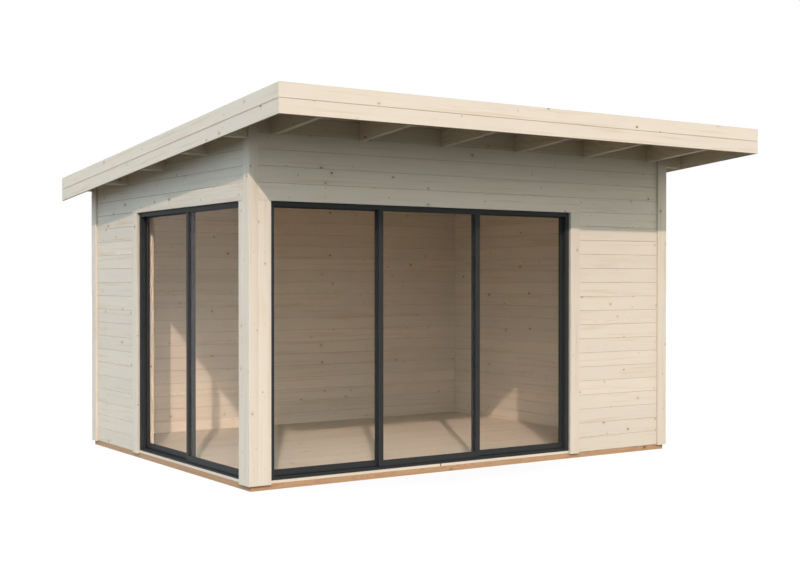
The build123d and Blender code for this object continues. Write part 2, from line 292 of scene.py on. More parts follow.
def board_sheet(columns, joints, groove_width, groove_depth, thickness, place):
    """A closed sheet of boards laid edge to edge: a grid of columns along them and levels across them.

    columns holds rows of (along, lowest, highest), the sheet's edges at that place, with two rows where an
    edge steps. Each level is clipped to the edges of its column, so the grid follows steps and slopes, and a
    column is added wherever a sloping edge crosses a level. Both faces sink by the groove's depth at a joint,
    less in proportion to the distance from it, and nil past half the groove's width. place turns along,
    across and depth into points.
    """
    columns = np.round(columns, 6)
    half = groove_width / 2
    valley = joints[:, None] + half * np.array([-1.0, 0.0, 1.0])
    levels = np.unique(np.round(np.concatenate([valley.ravel(), columns[:, 1], columns[:, 2]]), 6))
    levels = levels[(levels >= columns[:, 1].min()) & (levels <= columns[:, 2].max())]
    numbers = np.arange(len(columns))
    sloping = np.diff(columns[:, 0])[:, None] > 0

    def crossings(edge):
        rise = np.diff(edge)[:, None]
        share = (levels - edge[:-1, None]) / np.where(np.abs(rise) < 1e-9, np.inf, rise)
        return (numbers[:-1, None] + share)[(share > 1e-4) & (share < 1 - 1e-4) & sloping]

    keys = np.unique(np.concatenate([numbers, crossings(columns[:, 1]), crossings(columns[:, 2])]))
    along, lowest, highest = (np.interp(keys, numbers, column) for column in columns.T)
    across = np.clip(levels[None, :], lowest[:, None], highest[:, None])
    spots = np.stack([np.broadcast_to(along[:, None], across.shape), across], -1).reshape(-1, 2)
    _, first, welded = np.unique(np.round(spots, 5), axis=0, return_index=True, return_inverse=True)
    spots = spots[first]
    quads = welded.reshape(-1)[grid_faces(*across.shape)]
    x, y = np.moveaxis(spots[quads], -1, 0)
    area = (x * np.roll(y, -1, 1) - y * np.roll(x, -1, 1)).sum(1) / 2
    quads = quads[np.abs(area) > 1e-9]
    twin = quads == np.roll(quads, -1, 1)
    triangles = np.concatenate([np.delete(quads[twin[:, k]], k, 1) for k in range(4)])
    quads = quads[~twin.any(1)]

    count = len(spots)
    edges = np.concatenate([np.stack([f, np.roll(f, -1, 1)], -1).reshape(-1, 2) for f in (quads, triangles)])
    lone = ~np.isin(edges @ [count, 1], edges @ [1, count])
    start, end = edges[lone].T
    rim = np.stack([end, start, start + count, end + count], -1)
    nearest = np.abs(spots[:, 1:] - joints).min(1)
    sink = groove_depth * np.clip(1 - nearest / half, 0, 1)
    faces = [
        np.concatenate([quads, quads[:, ::-1] + count, rim]),
        np.concatenate([triangles, triangles[:, ::-1] + count]),
    ]
    points = np.concatenate([place(*spots.T, sink), place(*spots.T, thickness - sink)])
    return points, [f for f in faces if len(f)]


def notched_columns(start, end, notch_starts, notch_width, top, notch_top, sill, step=None, high_sill=0.0):
    """Columns of a wall: its ends, four at each notch, and two where its lower edge drops from the high sill.

    top and notch_top give the upper edge at a place along the wall, outside a notch and in it.
    """
    notch = (notch_starts[:, None] + notch_width * np.array([0.0, 0.0, 1.0, 1.0])).ravel()
    sunk = np.tile([False, True, True, False], len(notch_starts))
    steps = np.array([] if step is None else [step, step])
    along = np.concatenate([[start], notch, steps, [end]])
    sunk = np.concatenate([[False], sunk, np.zeros(len(steps) + 1, bool)])
    order = np.argsort(along, kind="stable")
    along, sunk = along[order], sunk[order]
    upper = np.where(sunk, notch_top(along), top(along))
    lower = np.full(len(along), sill)
    if step is not None:
        lower[: np.flatnonzero(along == step)[0] + 1] = high_sill
    return np.stack([along, lower, upper], -1)


def prisms(starts, ends):
    """Closed prisms, each between two rings of points: a ring is carried straight from its start to its end.

    starts and ends have the shape (prisms, points round, 3).
    """
    count, around = starts.shape[:2]
    points = np.stack([starts, ends], 1).reshape(-1, 3)
    first = np.arange(count)[:, None, None] * 2 * around
    sides = (grid_faces(2, around, close_columns=True) + first).reshape(-1, 4)
    ring = np.arange(around)
    caps = np.concatenate([ring[::-1] + first[:, 0], ring + around + first[:, 0]])
    return points, [sides, caps]


def sloping_bars(spans):
    """Closed bars across the cabin whose upper and lower faces keep to the roof's slope: each is a section of
    four corners carried along X.

    A span is (x start, x end, y start, y end, upper drop, lower drop), the drops down from the roof's top.
    """
    x_start, x_end, y_start, y_end, upper, lower = np.asarray(spans).T
    y = np.stack([y_start, y_end, y_end, y_start], -1)
    z = roof_level(y, np.stack([upper, upper, lower, lower], -1))
    starts, ends = (np.stack([np.broadcast_to(x[:, None], y.shape), y, z], -1) for x in (x_start, x_end))
    return prisms(starts, ends)


def rounded_rectangle(x_start, x_end, y_start, y_end, radius):
    """Rings of rectangles whose corners are quarter circles of three chords: corner centres plus the radius
    times the cosine and sine of an angle that goes once round."""
    angle = np.linspace(0, np.pi / 2, 4) + np.arange(4)[:, None] * np.pi / 2
    right = np.array([1, 0, 0, 1])[:, None]
    upper = np.array([1, 1, 0, 0])[:, None]
    x_start, x_end, y_start, y_end = (np.asarray(v)[:, None, None] for v in (x_start, x_end, y_start, y_end))
    x = np.where(right, x_end - radius, x_start + radius) + radius * np.cos(angle)
    y = np.where(upper, y_end - radius, y_start + radius) + radius * np.sin(angle)
    return x.reshape(len(x), -1), y.reshape(len(y), -1)


# Materials


class Nodes:
    """Adds nodes to a tree, each with its links and values in one call."""

    def __init__(self, tree):
        self.tree = tree

    def add(self, kind, inputs=None, **settings):
        node = self.tree.nodes.new("ShaderNode" + kind)
        for name, value in settings.items():
            setattr(node, name, value)
        for name, value in (inputs or {}).items():
            if isinstance(value, bpy.types.NodeSocket):
                self.tree.links.new(value, node.inputs[name])
            else:
                node.inputs[name].default_value = value
        return node

    def sum(self, operation, *values):
        return self.add("Math", dict(enumerate(values)), operation=operation).outputs[0]

    def times(self, first, second):
        return self.sum("MULTIPLY", first, second)

    def times_plus(self, first, second, third):
        return self.sum("MULTIPLY_ADD", first, second, third)

    def minus(self, first, second):
        return self.sum("SUBTRACT", first, second)

    def vectors(self, operation, first, second):
        return self.add("VectorMath", {0: first, 1: second}, operation=operation).outputs[0]

    def scaled(self, colour, factor):
        return self.add("VectorMath", {0: colour, "Scale": factor}, operation="SCALE").outputs[0]

    def dot(self, spot, axis):
        return self.add("VectorMath", {0: spot, 1: tuple(axis)}, operation="DOT_PRODUCT").outputs["Value"]

    def vector(self, x=0.0, y=0.0, z=0.0):
        return self.add("CombineXYZ", {0: x, 1: y, 2: z}).outputs[0]

    def noise(self, spot, scale, detail=2.0):
        return self.add("TexNoise", {"Vector": spot, "Scale": scale, "Detail": detail}).outputs[0]

    def smooth(self, value, start, end):
        """Nil below start, one above end and an S-shaped rise between them."""
        inputs = {"Value": value, "From Min": start, "From Max": end}
        return self.add("MapRange", inputs, interpolation_type="SMOOTHSTEP").outputs[0]

    def mix(self, share, first, second):
        node = self.add("Mix", data_type="RGBA")
        for socket, value in zip((node.inputs[0], node.inputs[6], node.inputs[7]), (share, first, second)):
            if isinstance(value, bpy.types.NodeSocket):
                self.tree.links.new(value, socket)
            else:
                socket.default_value = value
        return node.outputs[2]


def new_group(name, inputs, outputs):
    """An empty node group with named inputs and outputs, its nodes, and the sockets inside it."""
    tree = bpy.data.node_groups.new(name, "ShaderNodeTree")
    for way, sockets in (("INPUT", inputs), ("OUTPUT", outputs)):
        for socket, kind in sockets.items():
            tree.interface.new_socket(socket, in_out=way, socket_type="NodeSocket" + kind)
    inside = tree.nodes.new("NodeGroupInput")
    outside = tree.nodes.new("NodeGroupOutput")
    return tree, Nodes(tree), inside.outputs, outside.inputs


def sawn_softwood():
    """Node group of sawn softwood.

    A board is cut from a log whose axis lies a random distance beside and behind it, so the rings it shows
    are the distance from that axis divided by the ring width. A wandering axis and the log's taper draw
    arches, and the rings bend round knots. Fibres are noise drawn out along the board. Gap Shade paints the
    shadow of the open joint to the next board as a dark line, which is painted shade.
    """
    existing = bpy.data.node_groups.get("Sawn softwood")
    if existing:
        return existing
    tree, n, given, made = new_group(
        "Sawn softwood",
        {"Along": "Float", "Across": "Float", "Depth": "Float", "Board": "Float",
         "Early Wood": "Color", "Late Wood": "Color", "Knot": "Color",
         "Ring Width": "Float", "Knot Share": "Float", "Gap Shade": "Float"},
        {"Color": "Color", "Roughness": "Float", "Height": "Float"},
    )
    along, across, depth, board = (given[name] for name in ("Along", "Across", "Depth", "Board"))
    chance = n.add("TexWhiteNoise", {"W": board}, noise_dimensions="1D").outputs["Color"]
    red, green, blue = n.add("SeparateColor", {0: chance}).outputs
    shift = n.times(board, 7.31)

    # Knots: one point in each cell along the board, its size and whether it is there drawn by chance
    cell_length, cell_width, stretch = 0.30, 0.075, 1.25
    cells = n.vector(n.times_plus(along, 1 / cell_length, shift), n.times_plus(across, 1 / cell_width, shift))
    scatter = n.add("TexVoronoi", {"Vector": cells, "Scale": 1.0, "Randomness": 1.0}, voronoi_dimensions="2D")
    away = n.vectors("SUBTRACT", cells, scatter.outputs["Position"])
    away = n.vectors("MULTIPLY", away, (cell_length / stretch, cell_width, 0.0))
    away = n.add("VectorMath", {0: away}, operation="LENGTH").outputs["Value"]
    odds, girth, dark = n.add("SeparateColor", {0: scatter.outputs["Color"]}).outputs
    there = n.sum("LESS_THAN", odds, given["Knot Share"])
    radius = n.times_plus(n.sum("POWER", girth, 3.0), 0.0095, 0.003)
    radius = n.sum("MAXIMUM", n.times(radius, there), 0.00001)
    ragged = n.times_plus(n.noise(n.vector(along, across), 220.0), 0.004, n.minus(away, 0.002))
    knot = n.minus(1.0, n.smooth(ragged, n.times(radius, 0.6), n.times(radius, 1.15)))
    knot = n.times(knot, there)
    halo = n.minus(1.0, n.smooth(away, n.times(radius, 0.8), n.times(radius, 4.0)))
    halo = n.times(halo, there)

    # Rings: distance from the log's axis
    drift = n.noise(n.vector(n.times(along, 0.8), n.times(across, 2.0), shift), 1.0)
    swing = n.noise(n.vector(n.times(along, 1.3), shift, n.times(depth, 2.0)), 1.0)
    beside = n.times_plus(n.minus(red, 0.5), 0.15, across)
    beside = n.times_plus(n.minus(drift, 0.5), 0.07, beside)
    behind = n.times_plus(green, 0.10, n.sum("ADD", depth, 0.012))
    behind = n.times_plus(n.minus(swing, 0.5), 0.06, behind)
    ring = n.sum("SQRT", n.times_plus(beside, beside, n.times(behind, behind)))
    ring = n.times_plus(n.times(n.minus(blue, 0.5), along), 0.012, ring)
    ring = n.times_plus(n.times(halo, radius), 1.4, ring)
    turn = n.sum("FRACT", n.sum("DIVIDE", ring, given["Ring Width"]))
    late = n.times(n.smooth(turn, 0.35, 0.93), n.minus(1.0, n.smooth(turn, 0.93, 1.0)))

    # Fibres and blotches
    strands = n.vector(n.times_plus(along, 5.0, shift), n.times(across, 380.0), n.times(depth, 380.0))
    fibre = n.noise(strands, 1.0, 3.0)
    streaks = n.vector(n.times_plus(along, 1.1, shift), n.times(across, 34.0), n.times(depth, 34.0))
    streak = n.noise(streaks, 1.0, 2.0)
    blotch = n.noise(n.vector(n.times_plus(along, 1.7, shift), n.times(across, 7.0), depth), 1.0)

    share = n.times_plus(late, 0.42, n.times_plus(n.smooth(streak, 0.5, 0.78), 0.55, -0.06))
    share = n.times_plus(n.minus(fibre, 0.5), 0.30, share)
    share = n.times_plus(halo, 0.34, share)
    share = n.times_plus(n.smooth(blotch, 0.52, 0.8), 0.4, share)
    wood = n.mix(n.add("Clamp", {0: share}).outputs[0], given["Early Wood"], given["Late Wood"])
    shade = n.times_plus(n.minus(blue, 0.5), 0.07, 1.0)
    shade = n.times_plus(n.minus(blotch, 0.5), 0.12, shade)
    wood = n.scaled(wood, shade)
    # Painted shade: at each joint the wood turns to dark late wood, standing in for the shadow in the open
    # gap between boards.
    gap_shade_colour = n.scaled(given["Late Wood"], 0.36)
    wood = n.mix(n.times(given["Gap Shade"], 0.9), wood, gap_shade_colour)
    depth_of_knot = n.times(knot, n.times_plus(dark, 0.35, 0.6))
    warm = n.vectors("MULTIPLY", given["Late Wood"], (0.62, 0.45, 0.3))
    core = n.mix(n.smooth(dark, 0.45, 0.9), warm, given["Knot"])
    tree.links.new(n.mix(depth_of_knot, wood, core), made["Color"])
    rough = n.times_plus(n.minus(fibre, 0.5), 0.22, 0.62)
    tree.links.new(n.times_plus(late, -0.08, rough), made["Roughness"])
    height = n.times_plus(late, 0.35, n.times(fibre, 0.65))
    tree.links.new(n.times_plus(knot, 0.3, height), made["Height"])
    return tree


def fine_grain():
    """Node group of a fine grainy coat: noise of two sizes, the finer one on top of the coarser one."""
    existing = bpy.data.node_groups.get("Fine grain")
    if existing:
        return existing
    inputs = {"Vector": "Vector", "Coarse": "Float", "Fine": "Float", "Dark": "Color", "Light": "Color",
              "Least Roughness": "Float", "Most Roughness": "Float"}
    outputs = {"Color": "Color", "Roughness": "Float", "Height": "Float"}
    tree, n, given, made = new_group("Fine grain", inputs, outputs)
    coarse = n.noise(given["Vector"], given["Coarse"], 3.0)
    fine = n.noise(given["Vector"], given["Fine"], 2.0)
    both = n.times_plus(fine, 0.6, n.times(coarse, 0.4))
    spread = n.smooth(both, 0.32, 0.68)
    tree.links.new(n.mix(spread, given["Dark"], given["Light"]), made["Color"])
    span = n.minus(given["Most Roughness"], given["Least Roughness"])
    tree.links.new(n.times_plus(coarse, span, given["Least Roughness"]), made["Roughness"])
    tree.links.new(fine, made["Height"])
    return tree


def new_material(name):
    """A material with a Principled shader, its nodes and the Object coordinates."""
    material = bpy.data.materials.new(name)
    material.use_nodes = True
    n = Nodes(material.node_tree)
    shader = material.node_tree.nodes["Principled BSDF"]
    return material, n, shader, n.add("TexCoord").outputs["Object"]


def wear(n, shader, group, bump):
    """Joins a group's colour, roughness and height to a shader."""
    n.tree.links.new(group.outputs["Color"], shader.inputs["Base Color"])
    n.tree.links.new(group.outputs["Roughness"], shader.inputs["Roughness"])
    relief = n.add("Bump", {"Strength": 0.6, "Distance": bump, "Height": group.outputs["Height"]})
    n.tree.links.new(relief.outputs[0], shader.inputs["Normal"])


def opaque(colour):
    """A colour with full alpha."""
    return (*colour, 1.0)


def timber(
    name, along, across, depth, origin, stack=None, pitch=1.0, step=0.0, first=0.0, seed=0.0,
    kind="spruce", knots=0.5, ring=0.0034,
):
    """Material of boards or timbers that lie along one axis, measured from an origin.

    The board's number counts pitches along stack from first, or comes from the board attribute where there is
    no stack. step is how far across each next board starts, nil for timbers that stand apart.
    """
    found = bpy.data.materials.get(name)
    if found:
        return found
    material, n, shader, spot = new_material(name)
    spot = n.vectors("SUBTRACT", spot, tuple(origin))
    slot = 0.0
    if stack is None:
        number = n.add("Attribute", attribute_name="board").outputs["Fac"]
    else:
        count = n.sum("DIVIDE", n.minus(n.dot(spot, stack), first), pitch)
        number = n.sum("FLOOR", count)
        if step:
            # Painted shade: slot is one in a thin band at each joint, where the dark line for the shadow in
            # the open gap is painted.
            aside = n.times(n.sum("PINGPONG", count, 0.5), pitch)
            slot = n.minus(1.0, n.smooth(aside, sizes().gap_shade_width * 0.3, sizes().gap_shade_width * 0.7))
    place = n.times_plus(number, -step, n.dot(spot, across))
    tones = colours()
    inputs = {
        "Along": n.dot(spot, along),
        "Across": place,
        "Depth": n.dot(spot, depth),
        "Board": n.sum("ADD", number, seed),
        "Early Wood": opaque(getattr(tones, kind)),
        "Late Wood": opaque(getattr(tones, kind + "_ring")),
        "Knot": opaque(tones.knot),
        "Ring Width": ring,
        "Knot Share": knots,
        "Gap Shade": slot,
    }
    group = n.add("Group", node_tree=sawn_softwood())
    for socket, value in inputs.items():
        if isinstance(value, bpy.types.NodeSocket):
            n.tree.links.new(value, group.inputs[socket])
        else:
            group.inputs[socket].default_value = value
    shader.inputs["Specular IOR Level"].default_value = 0.3
    wear(n, shader, group, 0.0006)
    return material


def grainy(name, dark, light, coarse, fine, roughness, bump, metal=0.0, specular=0.5, strips=None):
    """Material of a coated, pressed or gritty surface.

    strips holds the place of the first seam and the width of strips laid along X: each strip has a tone
    of its own, and its seams are darker.
    """
    found = bpy.data.materials.get(name)
    if found:
        return found
    material, n, shader, spot = new_material(name)
    group = n.add("Group", node_tree=fine_grain())
    n.tree.links.new(spot, group.inputs["Vector"])
    values = {"Coarse": coarse, "Fine": fine, "Dark": opaque(dark), "Light": opaque(light),
              "Least Roughness": roughness[0], "Most Roughness": roughness[1]}
    for socket, value in values.items():
        group.inputs[socket].default_value = value
    shader.inputs["Metallic"].default_value = metal
    shader.inputs["Specular IOR Level"].default_value = specular
    wear(n, shader, group, bump)
    if strips:
        count = n.sum("DIVIDE", n.minus(n.dot(spot, Y_AXIS), strips[0]), strips[1])
        aside = n.times(n.sum("PINGPONG", count, 0.5), strips[1])
        ragged = n.times_plus(n.noise(spot, 14.0), 0.016, n.minus(aside, 0.008))
        seam = n.minus(1.0, n.smooth(ragged, 0.004, 0.012))
        chance = n.add("TexWhiteNoise", {"W": n.sum("FLOOR", count)}, noise_dimensions="1D").outputs["Value"]
        shade = n.times_plus(seam, -0.5, n.times_plus(chance, 0.16, 0.92))
        worn = n.scaled(group.outputs["Color"], shade)
        n.tree.links.new(worn, shader.inputs["Base Color"])
    return material


def toned_glass():
    """Clear glass with a light tone, which lets the sun shine through."""
    material, n, shader, spot = new_material("Toned glass")
    shader.inputs["Base Color"].default_value = opaque(colours().glass)
    shader.inputs["Roughness"].default_value = 0.0
    shader.inputs["IOR"].default_value = 1.12
    shader.inputs["Transmission Weight"].default_value = 1.0
    ripple = n.add("Bump", {"Strength": 0.05, "Distance": 0.0005, "Height": n.noise(spot, 2.2, 1.0)})
    n.tree.links.new(ripple.outputs[0], shader.inputs["Normal"])
    through = n.add("BsdfTransparent", {"Color": opaque(np.sqrt(np.array(colours().glass)) * 0.96)})
    rays = n.add("LightPath").outputs["Is Shadow Ray"]
    both = n.add("MixShader", {0: rays, 1: shader.outputs[0], 2: through.outputs[0]})
    output = material.node_tree.nodes["Material Output"]
    n.tree.links.new(both.outputs[0], output.inputs["Surface"])
    return material


def faded(colour, factor):
    """A colour made darker or lighter by a factor."""
    return tuple(float(c) * factor for c in colour)


def give(material, *nodes):
    """Puts a material into every slot of CAD nodes whose shape stays."""
    for name in nodes:
        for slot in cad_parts[name].material_slots:
            slot.material = material


def wall_timber(name, along, depth, origin, seed):
    """Material of horizontal wall boards, numbered from the lowest joint upwards."""
    size = sizes()
    return timber(
        name, along, Z_AXIS, depth, origin, stack=Z_AXIS, pitch=size.board_pitch, step=size.board_pitch,
        first=size.first_joint - size.board_pitch, seed=seed, knots=0.3,
    )


def fascia_timber(name, along, depth, edge, seed):
    """Material of a fascia's two boards, counted straight down from the roof's top at its front edge."""
    board = sizes().fascia_board
    plumb = np.array([0.0, tan(sizes().roof_pitch), 1.0])
    origin = (edge, cad_box[0].y, cad_box[1].z)
    return timber(
        name, along, plumb, depth, origin, stack=plumb, pitch=board, step=board, first=-2 * board, seed=seed,
        knots=0.34,
    )


# Pieces


class CABIN_OT_wall_boards(bpy.types.Operator):
    """Build the walls of horizontal boards with V-grooves, notched round the rafters and lookouts"""

    bl_idname = "cabin.wall_boards"
    bl_label = "Wall Boards"

    def execute(self, context):
        size = sizes()
        joints = np.arange(size.first_joint, cad_box[1].z, size.board_pitch)
        rafter_drop = roof_level(low("rafters")[1], 0.0) - high("rafters")[2]
        first, last = low("rafters")[0], high("rafters")[0] - size.rafter_width
        rafter_starts = np.linspace(first, last, RAFTERS)
        lookout_starts = lookout_fronts()[1:-1]

        def cross_wall(name, nodes, seed, step=None):
            start, end = low(nodes[0]), high(nodes[0])
            level = roof_level(start[1], rafter_drop)
            lowest = min(low(node)[2] for node in nodes)
            columns = notched_columns(
                start[0], end[0], rafter_starts, size.rafter_width, lambda x: np.full(len(x), level),
                lambda x: np.full(len(x), level - size.rafter_depth), lowest, step, start[2],
            )
            outer, way = (start[1], 1.0) if start[1] < 0 else (end[1], -1.0)
            sheet = board_sheet(
                columns, joints, size.groove_width, size.groove_depth, end[1] - start[1],
                lambda u, v, w: np.stack([u, outer + way * w, v], -1),
            )
            wood = wall_timber(name.replace("_", " "), X_AXIS, way * Y_AXIS, (start[0], outer, 0.0), seed)
            add_piece(name, *sheet, [wood], replaced=nodes, slot="spruce")

        def side_wall(name, nodes, seed, step=None):
            start, end = low(nodes[0]), high(nodes[0])
            lowest = min(low(node)[2] for node in nodes)
            columns = notched_columns(
                start[1], end[1], lookout_starts, size.rafter_width, lambda y: roof_level(y, rafter_drop),
                lambda y: roof_level(y, rafter_drop + size.lookout_depth), lowest, step, start[2],
            )
            outer, way = (start[0], 1.0) if start[0] < 0 else (end[0], -1.0)
            sheet = board_sheet(
                columns, joints, size.groove_width, size.groove_depth, end[0] - start[0],
                lambda u, v, w: np.stack([outer + way * w, u, v], -1),
            )
            wood = wall_timber(name.replace("_", " "), Y_AXIS, way * X_AXIS, (outer, start[1], 0.0), seed)
            add_piece(name, *sheet, [wood], replaced=nodes, slot="spruce")

        front = ["front_lintel_wall", "front_right_wall"]
        left = ["left_lintel_wall", "left_rear_wall"]
        cross_wall("front_wall_boards", front, 11.0, low("front_right_wall")[0])
        cross_wall("back_wall_boards", ["back_wall"], 53.0)
        side_wall("left_wall_boards", left, 97.0, low("left_rear_wall")[1])
        side_wall("right_wall_boards", ["right_wall"], 151.0)
        return {"FINISHED"}


class CABIN_OT_floor_boards(bpy.types.Operator):
    """Lay the floor boards along the room, cut round the post and the linings"""

    bl_idname = "cabin.floor_boards"
    bl_label = "Floor Boards"

    def execute(self, context):
        size = sizes()
        start, end = low("floor_boards"), high("floor_boards")
        lining_back = high("front_threshold")[1]
        lining_right = high("left_threshold")[0]
        post = high("corner_post")
        wall_front = low("left_rear_wall")[1]
        wall_left = low("front_right_wall")[0]
        columns = np.array([
            (start[0], wall_front, end[1]), (lining_right, wall_front, end[1]),
            (lining_right, post[1], end[1]), (post[0], post[1], end[1]),
            (post[0], lining_back, end[1]), (wall_left, lining_back, end[1]),
            (wall_left, start[1], end[1]), (end[0], start[1], end[1]),
        ])
        joints = np.arange(start[1] + size.floor_pitch, end[1], size.floor_pitch)
        sheet = board_sheet(
            columns, joints, size.floor_groove, size.floor_groove, end[2] - start[2],
            lambda u, v, w: np.stack([u, v, end[2] - w], -1),
        )
        wood = timber(
            "floor boards", X_AXIS, Y_AXIS, -Z_AXIS, (start[0], start[1], end[2]), stack=Y_AXIS,
            pitch=size.floor_pitch, step=size.floor_pitch, seed=211.0, kind="floor", knots=0.25,
        )
        add_piece("floor_planks", *sheet, [wood], replaced=["floor_boards"], slot="floor_boards")
        return {"FINISHED"}


class CABIN_OT_roof(bpy.types.Operator):
    """Board the roof, with V-grooves between the boards"""

    bl_idname = "cabin.roof"
    bl_label = "Roof Boards"

    def execute(self, context):
        size = sizes()
        start, end = low("roof_deck"), high("roof_deck")
        under = deck_drop()
        columns = np.array([(start[0], start[1], end[1]), (end[0], start[1], end[1])])
        joints = np.arange(start[1] + size.deck_pitch, end[1], size.deck_pitch)
        sheet = board_sheet(
            columns, joints, size.groove_width, size.groove_depth, size.deck_thickness,
            lambda u, v, w: np.stack([u, v, roof_level(v, under) + w], -1),
        )
        wood = timber(
            "roof boards", X_AXIS, Y_AXIS, Z_AXIS, (start[0], start[1], end[2]), stack=Y_AXIS,
            pitch=size.deck_pitch, step=size.deck_pitch, seed=307.0, knots=0.42,
        )
        add_piece("roof_planks", *sheet, [wood], replaced=["roof_deck"], slot="spruce")
        return {"FINISHED"}


class CABIN_OT_felt(bpy.types.Operator):
    """Cover the roof with felt, whose top falls by the lap at each strip's lower edge"""

    bl_idname = "cabin.felt"
    bl_label = "Roofing Felt"

    def execute(self, context):
        size = sizes()
        start, end = low("roof_deck"), high("roof_deck")
        laps = np.arange(start[1] + size.felt_pitch, end[1] - size.felt_pitch / 3, size.felt_pitch)
        depth = np.concatenate([[start[1]], np.repeat(laps, 2), [end[1]]])
        drop = np.concatenate([[0.0], np.tile([0.0, size.felt_lap], len(laps)), [0.0]])
        upper = np.stack([depth, roof_level(depth, drop)], -1)
        base = deck_drop() - size.deck_thickness
        lower = np.array([(y, roof_level(y, base)) for y in (end[1], start[1])])
        loop = np.concatenate([upper, lower])
        rings = [np.column_stack([np.full(len(loop), x), loop])[None] for x in (start[0], end[0])]
        tones = colours()
        felt = grainy(
            "mineral felt", faded(tones.felt, 0.7), faded(tones.felt, 1.5), 40.0, 520.0, (0.8, 0.97), 0.0015,
            strips=(start[1], size.felt_pitch),
        )
        add_piece("roof_felt", *prisms(*rings), [felt], replaced=["roof_covering"], slot="roofing_felt")
        return {"FINISHED"}


class CABIN_OT_lookouts(bpy.types.Operator):
    """Build the lookouts under the side overhangs"""

    bl_idname = "cabin.lookouts"
    bl_label = "Lookouts"

    def execute(self, context):
        size = sizes()
        under = deck_drop()
        start = lookout_fronts()
        end = start + size.rafter_width
        inner = (start > start[0]) & (start < start[-1])
        upper = np.full(len(start), under)
        lower = under + np.where(start < start[-1], size.lookout_depth, size.rear_lookout_depth)
        left = np.full(len(start), low("left_lookouts")[0])
        left_end = np.where(inner, low("rafters")[0], low("front_left_corner_trim")[0])
        right = np.where(inner, high("rafters")[0], high("front_right_corner_trim")[0])
        right_end = np.full(len(start), high("right_lookouts")[0])
        spans = [np.stack([*x, start, end, upper, lower], -1) for x in ((left, left_end), (right, right_end))]
        wood = timber(
            "lookouts", X_AXIS, Z_AXIS, Y_AXIS, (0.0, end[-1], cad_box[1].z), stack=Y_AXIS,
            pitch=size.lookout_spacing, first=-0.4, seed=751.0, knots=0.4,
        )
        bars = sloping_bars(np.concatenate(spans))
        replaced = ["left_lookouts", "right_lookouts"]
        add_piece("lookout_timbers", *bars, [wood], replaced=replaced, slot="spruce")
        return {"FINISHED"}


class CABIN_OT_fascias(bpy.types.Operator):
    """Fix the side fascias, and the back fascia between them, which is one board high"""

    bl_idname = "cabin.fascias"
    bl_label = "Fascias"

    def execute(self, context):
        size = sizes()

        # Side fascias: the outline of two boards with a groove between them, carried down the slope
        board, gap, groove = size.fascia_board, size.fascia_gap, size.fascia_groove
        edges = [0.0, board - gap / 2, board - gap / 2, board + gap / 2, board + gap / 2, 2 * board]
        drop = np.array([*edges, 2 * board, 0.0])
        deck_start, back = low("roof_deck"), cad_box[1].y
        thick = deck_start[0] - cad_box[0].x
        inward = np.array([0.0, 0.0, groove, groove, 0.0, 0.0, thick, thick])
        sides = (("left", cad_box[0].x, 1.0, 601.0), ("right", cad_box[1].x, -1.0, 653.0))
        for name, edge, way, seed in sides:
            x = edge + way * inward
            ends = [np.stack([x, np.full(len(x), y), roof_level(y, drop)], -1) for y in (deck_start[1], back)]
            boards = prisms(ends[0][None], ends[1][None])
            wood = fascia_timber(name + " fascia", down_slope(), way * X_AXIS, edge, seed)
            add_piece(name + "_fascia_boards", *boards, [wood], replaced=[name + "_fascia"], slot="spruce")

        # Back fascia: one board between the side fascias
        deck = high("roof_deck")
        span = (deck_start[0], deck[0], deck[1], back, 0.0, board)
        middle = (0.0, back, roof_level(back, board / 2))
        wood = timber("back fascia", X_AXIS, Z_AXIS, -Y_AXIS, middle, seed=547.0, knots=0.34)
        add_piece("back_fascia_board", *sloping_bars([span]), [wood], replaced=["back_fascia"], slot="spruce")
        return {"FINISHED"}


def trim_spans():
    """Rows of (x start, x end, y start, y end, foot, top, side) of the upright trim boards: the corner trims,
    which end under the roof boards, and the trims at the ends of the glazed units. side is one where a board
    faces left or right and nil where it faces the front or the back."""
    size = sizes()
    thick = size.trim_thickness
    sill, head = low("door_trims")[2], high("door_trims")[2]
    spans = []
    for name in ("front_left", "front_right", "back_left", "back_right"):
        lo, hi = low(name + "_corner_trim"), high(name + "_corner_trim")
        faces_front = name.startswith("front")
        face_y = (lo[1], lo[1] + thick) if faces_front else (hi[1] - thick, hi[1])
        side_y = (lo[1] + thick, hi[1]) if faces_front else (lo[1], hi[1] - thick)
        side_x = (lo[0], lo[0] + thick) if name.endswith("left") else (hi[0] - thick, hi[0])
        spans.append((lo[0], hi[0], *face_y, lo[2], np.inf, 0))
        spans.append((*side_x, *side_y, lo[2], np.inf, 1))
    corner = high("front_left_corner_trim")
    unit_end = high("front_unit_head")[0]
    left_end = high("left_unit_head")[1]
    left_face = low("front_left_corner_trim")[0]
    front_face = low("front_left_corner_trim")[1]
    spans.append((corner[0], low("front_unit_head")[0], front_face, front_face + thick, sill, head, 0))
    spans.append((unit_end, unit_end + size.door_trim, front_face, front_face + thick, sill, head, 0))
    spans.append((left_face, left_face + thick, corner[1], low("left_unit_head")[1], sill, head, 1))
    left_far = left_end + size.door_trim
    spans.append((left_face, left_face + thick, left_end, left_far, sill, head, 1))
    return np.array(spans)


